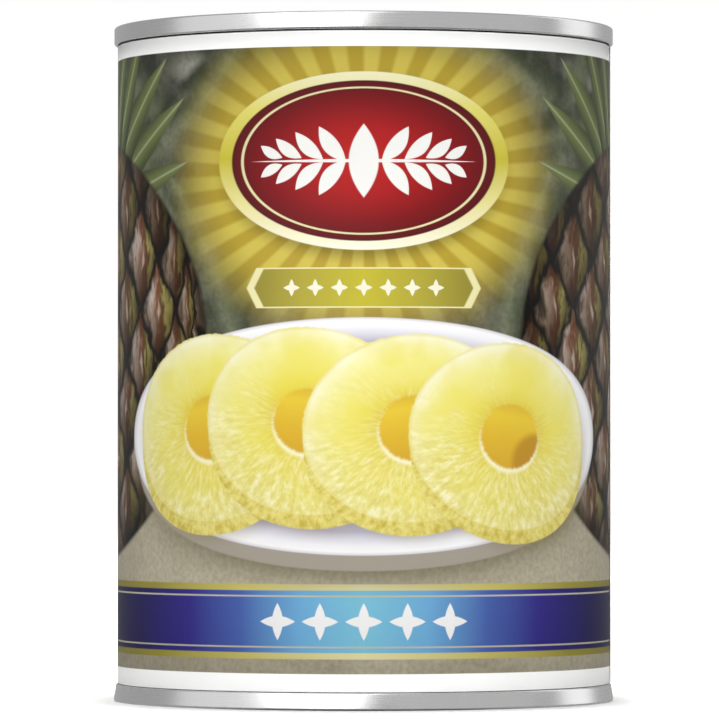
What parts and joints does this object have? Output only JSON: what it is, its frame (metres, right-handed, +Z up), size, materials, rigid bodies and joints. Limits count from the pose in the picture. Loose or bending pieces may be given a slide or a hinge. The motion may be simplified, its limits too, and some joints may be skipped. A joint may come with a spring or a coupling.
{
  "type": "food can",
  "caption": "Sealed round tinplate can of sliced fruit, with a double-seamed end at the top and the bottom and a paper label wrapped round the body.",
  "frame": {"origin": "centre of the flat ring that the can stands on, on the floor under the can's axis", "axes": "+Z up the can's axis, -Y out of the front of the label, +X to the right when the front is looked at"},
  "size_m": [0.0874, 0.0874, 0.1175],
  "materials": {
    "tinplate": "bright satin tinplate",
    "label_paper": "printed coated paper, semi-gloss"
  },
  "bodies": {
    "root": {"can_body": "tinplate", "top_end": "tinplate", "bottom_end": "tinplate", "label": "label_paper"}
  },
  "joints": []
}
